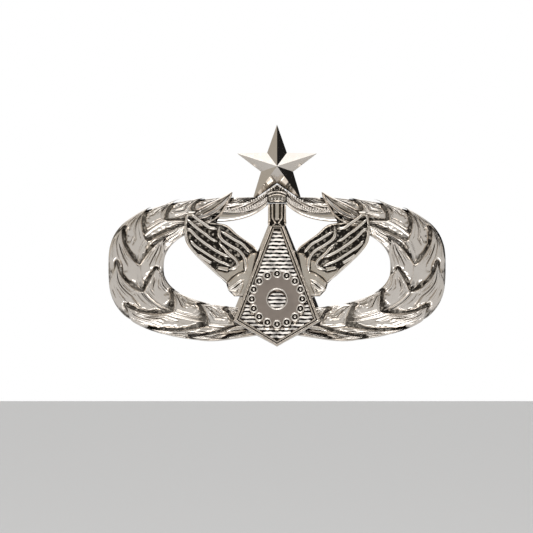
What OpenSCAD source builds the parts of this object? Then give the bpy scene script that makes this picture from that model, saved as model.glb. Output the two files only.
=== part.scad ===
// Metal badge worn on cloth: a laurel wreath round a kite shield with a toothed disc, a pair of
// wings and a star. Two soldered posts go through the cloth, and a butterfly clutch grips each
// post behind it. The badge stands upright in the XZ plane, its front faces -Y, and its flat
// back is the plane y = 0. Heights called _h are measured forward from that back.

/* [Wreath] */
// Overall width of the wreath, which is the width of the badge
wreath_w = 41; // [40:0.5:42]
// Height of the middle of the wreath above the middle of the badge
wreath_z = -3.9; // [-4.2:0.1:-3.6]
// Rise of the wreath's outer edge above its middle
rise_outer = 8.6; // [8.4:0.1:8.8]
// Drop of the wreath's outer edge below its middle
drop_outer = 9.4; // [9.2:0.1:9.5]
// How far the outer edge draws in towards the shield's point
foot_rise = 1.1; // [0.8:0.1:1.3]
// Width of the band of leaves at the two sides
band_w = 6.7; // [6.5:0.1:6.9]
// Rise of the wreath's inner edge above its middle
rise_inner = 5.8; // [5.6:0.1:6]
// Drop of the wreath's inner edge below its middle
drop_inner = 5; // [4.8:0.1:5.2]
// Squareness of the outer edge, where 2 is an ellipse
outer_power = 3; // [2.8:0.1:3.2]
// Squareness of the inner edge, where 2 is an ellipse
inner_power = 2.4; // [2.2:0.1:2.6]
// Thickness of the plate behind the leaves
band_h = 1; // [0.8:0.1:1.1]
// Height of the highest leaves
leaf_h = 1.7; // [1.5:0.1:1.9]
// Length of a leaf
leaf_len = 6.8; // [6:0.1:7]
// Width of a leaf
leaf_w = 3.1; // [2.6:0.1:3.2]
// Pairs of leaves on each branch
leaf_pairs = 10; // [8:1:11]

/* [Shield and toothed disc] */
// Half-width of the shield's top edge
shoulder_x = 0.85; // [0.8:0.05:0.95]
// Height of the shield's top edge
shoulder_z = 1.2; // [1:0.1:1.4]
// Half-width of the shield at its lower corners
corner_x = 5.25; // [5:0.05:5.4]
// Height of the lower corners
corner_z = -10.4; // [-10.6:0.1:-10.2]
// Height of the bottom point
point_z = -13.5; // [-13.7:0.1:-13.3]
// How far the drafted side walls spread at the back
draft = 0.5; // [0.3:0.05:0.6]
// Width of the raised border
border_w = 0.65; // [0.5:0.05:0.7]
// Height of the sunk ground inside the border
ground_h = 1.65; // [1.5:0.05:1.7]
// Height of the ribs on the ground
rib_h = 1.9; // [1.85:0.05:1.95]
// Distance from one rib to the next
rib_pitch = 0.47; // [0.42:0.01:0.6]
// Height of the border
shield_h = 2.3; // [2.2:0.05:2.4]
// Height of the disc's centre
disc_z = -7.7; // [-7.8:0.05:-7.6]
// Radius over the disc's teeth
disc_r = 3.3; // [3.1:0.05:3.35]
// Number of teeth on the disc
teeth = 16; // [12:1:18]
// Radius of the round gullets between the teeth
gullet_r = 0.42; // [0.35:0.01:0.45]
// Radius of the hole in the disc
hub_r = 1.15; // [1:0.05:1.4]
// Height of the disc's face
disc_h = 2.25; // [2.2:0.05:2.35]

/* [Star, crest and stem] */
// Radius to the points of the star
star_r = 5.1; // [4.8:0.05:5.2]
// Radius to the inner corners of the star
star_inner_r = 2.05; // [1.9:0.05:2.2]
// Height of the star's centre
star_z = 8.4; // [8.2:0.05:8.5]
// Height of the star's edges
star_edge_h = 0.8; // [0.6:0.1:1]
// Height of the peak of the star
star_peak_h = 2.2; // [1.8:0.1:2.4]
// Height of the crest's beaded face
crest_h = 1.8; // [1.6:0.1:1.9]
// Half-width of the stem
stem_x = 1.1; // [1:0.05:1.2]
// Height of the stem's two rails
stem_h = 2; // [1.8:0.1:2.1]
// Height of the collar and finial
collar_h = 2.2; // [2:0.1:2.3]

/* [Wings] */
// Thickness of the plate behind the feathers
wing_plate_h = 1.2; // [1:0.1:1.3]
// Height of the ridges between the feathers
wing_ridge_h = 1.9; // [1.7:0.1:2]
// Width of a ridge
ridge_w = 0.34; // [0.25:0.01:0.4]

/* [Posts] */
// Distance from the middle of the badge to each post
post_x = 17.1; // [17:0.05:17.2]
// Height of the posts
post_z = -3.1; // [-3.3:0.1:-2.9]
// Radius of the posts
post_r = 0.5; // [0.5:0.01:0.5]
// Length of the posts behind the badge
post_len = 7; // [6.8:0.1:7.5]
// Radius of the soldering pad
pad_r = 1.5; // [1.3:0.1:1.6]
// Depth that the pad is sunk into the badge
pad_t = 0.5; // [0.4:0.05:0.55]
// Radius at the bottom of a grip groove
groove_r = 0.38; // [0.35:0.01:0.42]

/* [Clutches] */
// Gap for the cloth between the badge and a clutch
cloth_gap = 2.2; // [2.2:0.05:2.25]
// Radius of the clutch's base disc
base_r = 3.1; // [3:0.05:3.2]
// Running clearance round the post and the eyelet
running = 0.05; // [0.04:0.01:0.06]
// Half-width of the housing across the badge
housing_x = 1.7; // [1.6:0.05:1.8]
// Half-length of the housing up the badge
housing_z = 1.5; // [1.45:0.05:1.6]
// Thickness of the housing's sheet
housing_t = 0.25; // [0.2:0.01:0.3]
// Height of the housing's top above the clutch's face
housing_top = 3.25; // [3.2:0.05:3.4]
// Thickness of the wing strip
strip_t = 0.24; // [0.2:0.01:0.26]
// Reach of a clutch wing from the post
wing_reach = 3.6; // [3.4:0.1:3.8]
// Height of a clutch wing's tip above the clutch's face
wing_tip = 4.4; // [4.2:0.1:4.6]

/* [Hidden] */
$fn = 64;
through = 10;            // longer than any thickness that a cut goes through
nickel = "silver";
matte_nickel = "gray";
brass = "goldenrod";

// ---- frames ----
// Raises a flat outline drawn in X and Z from one height to another, towards the front.
module raise(from, to) rotate([90, 0, 0]) translate([0, 0, from]) linear_extrude(to - from) children();
// Turns what is drawn along Z so that it points backwards, along a post.
module backwards() rotate([-90, 0, 0]) children();
module at_post(side) translate([side * post_x, 0, post_z]) children();
module left_hand() mirror([1, 0, 0]) children();

// ---- wreath ----
step = 5;                // degrees between the points of the wreath's edges
function signed_power(v, p) = sign(v) * pow(abs(v), p);
function loop_point(a, b, n, t) =
    [a * signed_power(cos(t), 2 / n), wreath_z + b * signed_power(sin(t), 2 / n)];
function half_loop(a, drop, rise, n) =
    [for (t = [-90 : step : 90]) loop_point(a, t < 0 ? drop : rise, n, t)];
// How much the outer edge rises at a distance x from the middle: all of it there, none at 9 mm
function foot(p) = p.y > wreath_z ? 0 : foot_rise * pow(max(0, 1 - pow(p.x / 9, 2)), 2);
function backward(list) = [for (i = [len(list) - 1 : -1 : 0]) list[i]];
outer_edge = [for (p = half_loop(wreath_w / 2, drop_outer, rise_outer, outer_power))
              p + [0, foot(p)]];
inner_edge = half_loop(wreath_w / 2 - band_w, drop_inner, rise_inner, inner_power);
middle = (outer_edge + inner_edge) / 2;
// Distance along the middle of the band from its foot to each of its points
distances = [for (i = 0, d = 0; i < len(middle);
                  d = d + (i + 1 < len(middle) ? norm(middle[i + 1] - middle[i]) : 0), i = i + 1) d];
function along(d) = [lookup(d, [for (i = [0 : len(middle) - 1]) [distances[i], middle[i].x]]),
                     lookup(d, [for (i = [0 : len(middle) - 1]) [distances[i], middle[i].y]])];
function heading(d) = let (way = along(d + 0.3) - along(d - 0.3)) atan2(way.y, way.x);
first_leaf = 3.5;        // distance from the foot to the first pair
leaf_pitch = 3.72;
leaf_spread = 17;        // angle between a leaf and the middle of the band

// A leaf: the lens where two equal circles cross, its base at the origin, pointing along X.
module leaf_outline() {
    r = (leaf_len * leaf_len + leaf_w * leaf_w) / (4 * leaf_w);
    translate([leaf_len / 2, 0]) intersection() {
        translate([0, r - leaf_w / 2]) circle(r);
        translate([0, leaf_w / 2 - r]) circle(r);
    }
}
module leaf_at(d, hand) {
    translate(along(d)) rotate(heading(d)) translate([-1, hand * 0.75])
        rotate(hand * leaf_spread) leaf_outline();
}
module band_outline() polygon(concat(outer_edge, backward(inner_edge)));
module branch() difference() {
    union() {
        raise(0, band_h) band_outline();
        for (i = [0 : leaf_pairs - 1], hand = [-1, 1])
            raise(band_h - 0.2, leaf_h - 0.2 * ((i + (hand > 0 ? 1 : 0)) % 3))
                intersection() {
                    leaf_at(first_leaf + i * leaf_pitch, hand);
                    band_outline();
                }
    }
    raise(-1, through) {
        shield_outline(draft);
        wing_outline();
        crest_outline();
        window_top();
        stem_outline();
        collar_outline();
        star_outline();
    }
    translate([post_x, 0, post_z]) backwards()
        translate([0, 0, -pad_t]) cylinder(r = pad_r + running, h = through);
}

// ---- shield and toothed disc ----
module shield_outline(grow) {
    x1 = shoulder_x + grow / 2;
    x2 = corner_x + grow;
    polygon([[-x1, shoulder_z], [-x2, corner_z], [0, point_z], [x2, corner_z], [x1, shoulder_z]]);
}
// The shield's outline drawn in from its edges, for the ground inside the border
module ground_outline() {
    lean = (corner_x - shoulder_x) / (shoulder_z - corner_z);
    side = border_w * sqrt(1 + lean * lean);
    low = border_w * 1.2;
    apex_z = shoulder_z + (shoulder_x - side) / lean;
    x2 = corner_x - side;
    polygon([[0, apex_z], [-x2, corner_z], [0, point_z + low], [x2, corner_z]]);
}
module ribs() {
    rows = floor((shoulder_z - point_z) / rib_pitch);
    for (i = [1 : rows]) translate([-corner_x, point_z + i * rib_pitch])
        square([2 * corner_x, rib_pitch / 2]);
}

// ---- star, crest and stem ----
function star_point(i) = let (r = i % 2 == 0 ? star_r : star_inner_r, a = 90 + i * 36)
    [r * cos(a), star_z + r * sin(a)];
star_points = [for (i = [0 : 9]) star_point(i)];
module star_outline() polygon(star_points);
module star_body() {
    rim = [for (p = star_points) [p.x, -star_edge_h, p.y]];
    back = [for (p = star_points) [p.x, 0, p.y]];
    peak = [0, -star_peak_h, star_z];
    polyhedron(concat(back, rim, [peak]),
        concat([[for (i = [9 : -1 : 0]) i]],
               [for (i = [0 : 9]) [i, (i + 1) % 10, 10 + (i + 1) % 10]],
               [for (i = [0 : 9]) [i, 10 + (i + 1) % 10, 10 + i]],
               [for (i = [0 : 9]) [10 + i, 10 + (i + 1) % 10, 20]]));
}
// Points of a smooth bend from a to c that leans towards b
function bend(a, b, c, n = 8) =
    [for (i = [0 : n]) let (u = i / n) a * (1 - u) * (1 - u) + b * 2 * u * (1 - u) + c * u * u];
crest_lower = bend([stem_x, 3.8], [3, 1.7], [7.3, 1.65]);
crest_upper = bend([6.7, 2.9], [3.2, 4], [stem_x, 5.1]);
module crest_outline() polygon(concat(crest_lower, crest_upper));
// The open space under the crest, beside the stem
module window_top() polygon(concat(crest_lower, [[7.3, 0], [0, 0], [0, 3.8]]));
// The smooth lower hem of the crest, which stands lower than its beaded upper part
module crest_hem() intersection() {
    crest_outline();
    polygon(concat(crest_lower, bend([7, 2.4], [3.4, 2.6], [stem_x, 4.5])));
}
module stem_outline() translate([-stem_x, shoulder_z - 0.2]) square([2 * stem_x, 2.9]);
module stem_panel() translate([-0.5, shoulder_z + 0.5]) square([1, 2.2]);
collar_z = 3.9;          // height of the bottom of the collar
collar_x = 1.35;
module collar_outline() polygon([[-collar_x, collar_z], [-collar_x, collar_z + 1.2],
    [0, collar_z + 2.3], [collar_x, collar_z + 1.2], [collar_x, collar_z]]);

// ---- wings ----
// Outline of the right wing: from the shield out along the top edge, round the tip and back.
wing_top = [[0.9, 0], [2.4, -1.9], [6.1, 1.2], [7.3, 1.55], [9.2, 1.7], [10.6, 2.9]];
wing_side = bend([11.1, 2.2], [11.4, -0.6], [10.1, -2.1]);
wing_foot = [[7.8, -4.3], [6.2, -5.8], [5.9, -6.7], [5.2, -7.4], [3.4, -7.4]];
module wing_outline() polygon(concat(wing_top, wing_side, wing_foot));
ridges = 6;
// Middle line of one ridge, from the wing's side edge in to the shoulder
function ridge_line(i) = let (u = i / (ridges - 1))
    bend([10.5 - 4.3 * u * u, 1.9 - 2.6 * u - 1.7 * u * u], [7.6 - 1.4 * u, -0.9 - 2.6 * u],
         [3.7 + 0.9 * u, -2.7 - 2.3 * u]);
function shifted(line, by) = [for (i = [0 : len(line) - 1])
    let (way = line[min(i + 1, len(line) - 1)] - line[max(i - 1, 0)])
    line[i] + [-way.y, way.x] * by / norm(way)];
module ridge(i) {
    line = ridge_line(i);
    polygon(concat(shifted(line, ridge_w / 2), backward(shifted(line, -ridge_w / 2))));
}
module wing_body() difference() {
    union() {
        raise(0, wing_plate_h) wing_outline();
        raise(wing_plate_h - 0.2, wing_ridge_h) intersection() {
            wing_outline();
            for (i = [0 : ridges - 1]) ridge(i);
        }
    }
    raise(-1, through) shield_outline(draft);
    raise(-1, through) crest_outline();
}

// ---- posts and clutches ----
groove_first = 2.3;      // distance of the first grip groove behind the badge
groove_pitch = 1.5;
groove_half = 0.3;
post_point = 0.7;        // length of the sharpened end
function groove(i) = let (y = groove_first + i * groove_pitch)
    [[post_r, y - groove_half], [groove_r, y], [post_r, y + groove_half]];
module post_body() backwards() rotate_extrude() polygon(concat(
    [[0, -pad_t], [pad_r, -pad_t], [pad_r, 0], [post_r, 0]],
    groove(0), groove(1), groove(2),
    [[post_r, post_len - post_point], [0.08, post_len], [0, post_len]]));

bore_r = post_r + running;
eyelet_r = 0.8;          // outer radius of the eyelet's tube
flange_r = 1.3;
floor_c = 0.55;          // clutch heights ending in _c are measured back from its face
floor_top_c = floor_c + housing_t;
module eyelet_body() backwards() rotate_extrude() polygon([
    [bore_r, 0.05], [flange_r, 0.05], [flange_r, 0.25], [eyelet_r, 0.25],
    [eyelet_r, floor_top_c + 0.05], [1.1, floor_top_c + 0.05], [1.1, floor_top_c + 0.25],
    [bore_r, floor_top_c + 0.25]]);
module base_disc_body() backwards() rotate_extrude() polygon([
    [eyelet_r + running, 0.3], [flange_r + 0.15, 0.3], [flange_r + 0.15, 0], [base_r - 0.3, 0],
    [base_r, 0.3], [base_r, 0.75], [base_r - 0.25, 0.75], [base_r - 0.25, 0.42],
    [base_r - 0.4, 0.3], [1.75, 0.3], [1.75, floor_c], [eyelet_r + running, floor_c]]);

pivot_c = 2.3;           // height and offset of the line that a grip turns about
pivot_z = 1.1;
trunnion_r = 0.2;
module housing_body() difference() {
    translate([-housing_x, floor_c, -housing_z])
        cube([2 * housing_x, housing_top - floor_c, 2 * housing_z]);
    translate([-housing_x + housing_t, floor_top_c, -housing_z - 1])
        cube([2 * (housing_x - housing_t), housing_top - floor_top_c - housing_t,
              2 * housing_z + 2]);
    backwards() cylinder(r = eyelet_r + running, h = floor_top_c + 0.1);
    backwards() translate([0, 0, housing_top - 1]) cylinder(r = bore_r + 0.1, h = 2);
    for (z = [-pivot_z, pivot_z]) translate([-through, pivot_c, z])
        rotate([0, 90, 0]) cylinder(r = trunnion_r + running, h = 2 * through);
}

grip_x = housing_x - housing_t - 0.1;   // half-width of a grip inside the housing
jaw_x = 0.9;
jaw_c = 1.32;
knuckle_r = 0.34;
curl_r = 1.2;            // radius of the bend where a wing turns outwards
module across(half) translate([-half, 0, 0]) rotate([90, 0, 90]) linear_extrude(2 * half) children();
// Edge-on outline of the curled wing, drawn with the post's direction as X and up as Y
module curl() {
    turn_z = wing_reach - curl_r;
    translate([pivot_c - strip_t / 2, pivot_z]) square([strip_t, turn_z - pivot_z]);
    intersection() {
        translate([pivot_c - strip_t / 2 + curl_r, turn_z]) difference() {
            circle(curl_r);
            circle(curl_r - strip_t);
        }
        translate([pivot_c - strip_t, turn_z]) square([curl_r + strip_t / 2, 2 * curl_r]);
    }
    translate([pivot_c - strip_t / 2 + curl_r, wing_reach - strip_t])
        square([wing_tip - pivot_c + strip_t / 2 - curl_r, strip_t]);
}
module grip_body() {
    difference() {
        union() {
            across(grip_x) curl();
            translate([-grip_x, pivot_c, pivot_z]) rotate([0, 90, 0])
                cylinder(r = knuckle_r, h = 2 * grip_x);
            translate([-jaw_x, jaw_c, pivot_z - strip_t / 2]) cube([2 * jaw_x, pivot_c - jaw_c, strip_t]);
            translate([-jaw_x, jaw_c, 0.1]) cube([2 * jaw_x, strip_t, pivot_z - 0.1]);
        }
        backwards() cylinder(r = bore_r, h = through);
    }
    translate([-housing_x, pivot_c, pivot_z]) rotate([0, 90, 0])
        cylinder(r = trunnion_r, h = 2 * housing_x);
}
module clutch_at(side) at_post(side) translate([0, cloth_gap, 0]) children();

// ---- one module per node ----
module wreath_left() color(nickel) left_hand() branch();
module wreath_right() color(nickel) branch();
module crest_body() difference() {
    union() {
        raise(0, crest_h - 0.4) crest_hem();
        raise(0, crest_h) difference() {
            crest_outline();
            crest_hem();
        }
    }
    raise(-1, through) collar_outline();
}
module crest_left() color(nickel) left_hand() crest_body();
module crest_right() color(nickel) crest_body();
module star() color(nickel) difference() {
    star_body();
    raise(-1, through) {
        crest_outline();
        left_hand() crest_outline();
        collar_outline();
    }
}
module finial() color(nickel) difference() {
    raise(0, collar_h) collar_outline();
    for (z = [collar_z + 0.3 : 0.3 : collar_z + 0.9])
        translate([-5, -collar_h - 0.1, z]) cube([10, 0.3, 0.12]);
}
module stem() color(nickel) difference() {
    raise(0, stem_h) difference() {
        stem_outline();
        collar_outline();
        shield_outline(draft);
    }
    raise(stem_h - 0.5, through) stem_panel();
}
module wing_left() color(nickel) left_hand() wing_body();
module wing_right() color(nickel) wing_body();
module shield() color(nickel) {
    raise(0, 0.8) shield_outline(draft);
    raise(0.7, ground_h) shield_outline(0);
    raise(ground_h - 0.1, shield_h) difference() {
        shield_outline(0);
        ground_outline();
    }
    raise(ground_h - 0.1, rib_h) intersection() {
        ground_outline();
        ribs();
    }
}
module toothed_disc() color(matte_nickel) raise(rib_h, disc_h) translate([0, disc_z])
    difference() {
        circle(disc_r);
        circle(hub_r);
        for (i = [0 : teeth - 1]) rotate(i * 360 / teeth) translate([disc_r - gullet_r / 2, 0])
            circle(gullet_r);
    }
module post_left() color(brass) at_post(-1) post_body();
module post_right() color(brass) at_post(1) post_body();
module eyelet_left() color(brass) clutch_at(-1) eyelet_body();
module eyelet_right() color(brass) clutch_at(1) eyelet_body();
module base_disc_left() color(brass) clutch_at(-1) base_disc_body();
module base_disc_right() color(brass) clutch_at(1) base_disc_body();
module housing_left() color(brass) clutch_at(-1) housing_body();
module housing_right() color(brass) clutch_at(1) housing_body();
module upper_grip_left() color(brass) clutch_at(-1) grip_body();
module upper_grip_right() color(brass) clutch_at(1) grip_body();
module lower_grip_left() color(brass) clutch_at(-1) mirror([0, 0, 1]) grip_body();
module lower_grip_right() color(brass) clutch_at(1) mirror([0, 0, 1]) grip_body();

wreath_left();
wreath_right();
crest_left();
crest_right();
star();
finial();
stem();
wing_left();
wing_right();
shield();
toothed_disc();
post_left();
post_right();
eyelet_left();
base_disc_left();
housing_left();
upper_grip_left();
lower_grip_left();
eyelet_right();
base_disc_right();
housing_right();
upper_grip_right();
lower_grip_right();
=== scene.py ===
import math
import random

import bmesh
import bpy
import numpy as np
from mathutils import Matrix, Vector


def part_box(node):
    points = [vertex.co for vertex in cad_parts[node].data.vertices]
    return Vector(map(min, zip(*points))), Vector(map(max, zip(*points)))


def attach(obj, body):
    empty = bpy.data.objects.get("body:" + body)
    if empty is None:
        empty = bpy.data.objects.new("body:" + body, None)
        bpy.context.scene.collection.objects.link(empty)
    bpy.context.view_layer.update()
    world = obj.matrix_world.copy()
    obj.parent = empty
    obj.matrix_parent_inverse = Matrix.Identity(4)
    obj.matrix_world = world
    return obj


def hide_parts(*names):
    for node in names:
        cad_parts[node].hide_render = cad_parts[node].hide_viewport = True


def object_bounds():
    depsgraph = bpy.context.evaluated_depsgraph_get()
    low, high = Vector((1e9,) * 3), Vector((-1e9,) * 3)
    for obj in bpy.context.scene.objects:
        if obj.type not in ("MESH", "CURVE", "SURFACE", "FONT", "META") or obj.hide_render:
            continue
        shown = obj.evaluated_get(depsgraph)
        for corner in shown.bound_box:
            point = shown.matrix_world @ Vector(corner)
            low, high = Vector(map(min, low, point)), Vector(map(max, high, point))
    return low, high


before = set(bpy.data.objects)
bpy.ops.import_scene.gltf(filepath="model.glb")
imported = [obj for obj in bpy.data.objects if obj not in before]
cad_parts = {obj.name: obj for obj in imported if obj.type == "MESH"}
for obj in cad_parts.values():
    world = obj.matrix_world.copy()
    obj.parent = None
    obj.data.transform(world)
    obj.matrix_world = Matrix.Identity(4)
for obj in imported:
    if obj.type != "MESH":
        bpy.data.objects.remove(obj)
cad_low, cad_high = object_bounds()
random.seed(7)


# ---------------------------------------------------------------- table, light and camera
# The badge is shown upright over a pale table, in the light tent that polished metal is shown in:
# a grey front with bright panels round it and dark gaps between, so that every edge draws a line.
MM = 0.001
# where the camera looks, from the badge's middle: a little to the left and below it
middle_x, middle_z = -1.28 * MM, -3.77 * MM
camera_distance = 0.5
seen_width = 64.9 * MM
sensor = 36.0

camera = bpy.data.objects.new("camera", bpy.data.cameras.new("camera"))
camera.location = (middle_x, -camera_distance, middle_z)
camera.rotation_euler = (math.radians(90), 0, 0)
camera.data.sensor_width = sensor
camera.data.lens = sensor * camera_distance / seen_width
camera.data.clip_start = 0.01
bpy.context.collection.objects.link(camera)
bpy.context.scene.camera = camera
bpy.context.scene.view_settings.view_transform = "Standard"


def nodes_of(owner):
    """An empty node tree for a material or world, with a short way to add nodes and links to it."""
    owner.use_nodes = True
    tree = owner.node_tree
    tree.nodes.clear()

    def add(kind, inputs=None, **settings):
        node = tree.nodes.new(kind)
        for key, value in settings.items():
            setattr(node, key, value)
        for key, value in (inputs or {}).items():
            if isinstance(value, bpy.types.NodeSocket):
                tree.links.new(value, node.inputs[key])
            else:
                node.inputs[key].default_value = value
        return node
    return add


def ramp(add, value, stops, interpolation="LINEAR"):
    """Turns a value into greys or colours at the given stops."""
    node = add("ShaderNodeValToRGB", {"Fac": value})
    node.color_ramp.interpolation = interpolation
    while len(node.color_ramp.elements) < len(stops):
        node.color_ramp.elements.new(0.5)
    for element, (place, shade) in zip(node.color_ramp.elements, stops):
        element.position = place
        element.color = (*shade, 1) if isinstance(shade, tuple) else (shade, shade, shade, 1)
    return node.outputs["Color"]


def mix(add, share, a, b, blend="MIX"):
    """Two colours mixed, multiplied or laid over each other by a share."""
    node = add("ShaderNodeMix", {"Factor": share, "A": a, "B": b}, data_type="RGBA", blend_type=blend)
    return node.outputs["Result"]


tent = bpy.data.worlds.new("light_tent")
add = nodes_of(tent)
way = add("ShaderNodeTexCoord").outputs["Generated"]
parts = add("ShaderNodeSeparateXYZ", {"Vector": way})
# 0 straight out in front of the badge, 1 straight behind it
from_front = add("ShaderNodeMath", {0: parts.outputs["Y"], 1: 0.5, 2: 0.5}, operation="MULTIPLY_ADD")
# once round the badge: 0 on its left, then the bottom, the right at 0.5, the top, and the left again
clock = add("ShaderNodeMath", {0: parts.outputs["Z"], 1: parts.outputs["X"]}, operation="ARCTAN2")
round_badge = add("ShaderNodeMath", {0: clock.outputs[0], 1: 0.5 / math.pi, 2: 0.5},
                  operation="MULTIPLY_ADD")


def warm(grey):
    """The grey of the tent's cloth, a little warm."""
    return grey, grey * 0.94, grey * 0.84


cloth, panel, gap = warm(0.52), 1.3, 0.015
# the tent's sides: cloth on the left and below, the dark gap on the right, the bright panel above
walls = ramp(add, round_badge.outputs[0], [
    (0.00, cloth), (0.08, cloth), (0.16, cloth), (0.34, warm(0.50)), (0.42, warm(0.25)), (0.46, gap),
    (0.57, gap), (0.61, 0.06), (0.66, panel), (0.84, panel), (0.89, warm(0.45)), (0.93, warm(0.45)),
    (1.00, cloth)])
# the tent's front, from its middle outwards: a grey field, a dark ring, and a bright one
rings = ramp(add, from_front.outputs[0], [
    (0.0, warm(0.385)), (0.04, warm(0.41)), (0.075, warm(0.36)), (0.10, 0.03), (0.14, 0.05), (0.165, 1.2),
    (0.20, 1.2), (0.23, warm(0.30)), (0.28, warm(0.5)), (1.0, 0.7)])
far = ramp(add, from_front.outputs[0], [(0.12, 0.0), (0.30, 1.0)])
near_part = mix(add, far, rings, walls)
seen = add("ShaderNodeLightPath").outputs["Is Camera Ray"]
inside = add("ShaderNodeBackground", {"Color": near_part, "Strength": 1.0})
plain = add("ShaderNodeBackground", {"Color": (1, 1, 1, 1), "Strength": 1.0})
both = add("ShaderNodeMixShader", {"Fac": seen, 1: inside.outputs[0], 2: plain.outputs[0]})
add("ShaderNodeOutputWorld", {"Surface": both.outputs[0]})
bpy.context.scene.world = tent


def softbox(name, place, size, watts):
    """A square panel of light aimed at the badge."""
    lamp = bpy.data.lights.new(name, "AREA")
    lamp.size, lamp.energy = size, watts
    box = bpy.data.objects.new(name, lamp)
    box.location = place
    box.visible_camera = False
    box.rotation_euler = Vector((-x for x in place)).to_track_quat("-Z", "Y").to_euler()
    bpy.context.collection.objects.link(box)


softbox("top_light", (-0.1, -0.2, 0.55), 0.25, 0.6)
softbox("low_light", (0.0, -0.034, -0.058), 0.05, 0.02)

def surface(add, inputs):
    """The finished surface of a material."""
    shell = add("ShaderNodeBsdfPrincipled", inputs)
    add("ShaderNodeOutputMaterial", {"Surface": shell.outputs[0]})


table_drop = 46 * MM
table_half = 1.2
table_z = cad_low.z - table_drop
table = bpy.data.meshes.new("table")
corners = ((-1, -1), (1, -1), (1, 1), (-1, 1))
table.from_pydata([(x * table_half, y * table_half, table_z) for x, y in corners], [], [(0, 1, 2, 3)])
floor = bpy.data.objects.new("table", table)
bpy.context.collection.objects.link(floor)
paper = bpy.data.materials.new("white_paper")
add = nodes_of(paper)
surface(add, {"Base Color": (0.6, 0.6, 0.6, 1), "Roughness": 0.9})
table.materials.append(paper)


# ---------------------------------------------------------------- laurel branches
# Each branch is a flat plate cut to the curve of the wreath, struck with pairs of long laurel
# leaves that overlap like tiles from the foot to the top. Brass, nickel plated and polished,
# with painted shade in the deep places.
def relief(rows, back):
    """A closed shell from rows of (x, z, height) in mm: its struck face, its flat back at the given
    height, and the walls between."""
    face = np.array(rows, float)
    m, n = face.shape[:2]
    spots = np.arange(m * n).reshape(m, n)
    quads = np.stack([spots[:-1, :-1], spots[:-1, 1:], spots[1:, 1:], spots[1:, :-1]], -1).reshape(-1, 4)
    rim = np.concatenate([spots[0, :], spots[1:, -1], spots[-1, -2::-1], spots[-2:0:-1, 0]])
    after = np.roll(rim, -1)
    under = face.reshape(-1, 3)[rim]
    under[:, 2] = back
    points = np.concatenate([face.reshape(-1, 3), under])
    below = np.arange(len(rim)) + m * n
    sides = np.stack([after, rim, below, np.roll(below, -1)], -1)
    return points, [*quads.tolist(), *sides.tolist(), below[::-1].tolist()]


def piece(name, shells, finish, body="badge", crease=38):
    """One object from closed shells in mm, heights measured forward from the badge's back."""
    points, faces, first = [], [], 0
    for shell_points, shell_faces in shells:
        points.append(shell_points)
        faces += [tuple(i + first for i in face) for face in shell_faces]
        first += len(shell_points)
    place = np.concatenate(points)
    place = np.stack([place[:, 0], -place[:, 2], place[:, 1]], -1) * MM
    mesh = bpy.data.meshes.new(name)
    mesh.from_pydata(place.tolist(), [], faces)
    mesh.validate()
    made = bpy.data.objects.new(name, mesh)
    bpy.context.collection.objects.link(made)
    turn_outward(mesh)
    mesh.shade_smooth()
    mesh.set_sharp_from_angle(angle=math.radians(crease))
    mesh.materials.append(finish)
    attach(made, body)
    return made


def turn_outward(mesh):
    """Makes every face of the closed shells look outwards."""
    work = bmesh.new()
    work.from_mesh(mesh)
    bmesh.ops.recalc_face_normals(work, faces=work.faces)
    work.to_mesh(mesh)
    work.free()


def noise(add, where, scale, detail, **more):
    """A cloudy pattern over the metal, from 0 to 1."""
    node = add("ShaderNodeTexNoise", {"Vector": where, "Scale": scale, "Detail": detail, **more})
    return node.outputs["Fac"]


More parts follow.
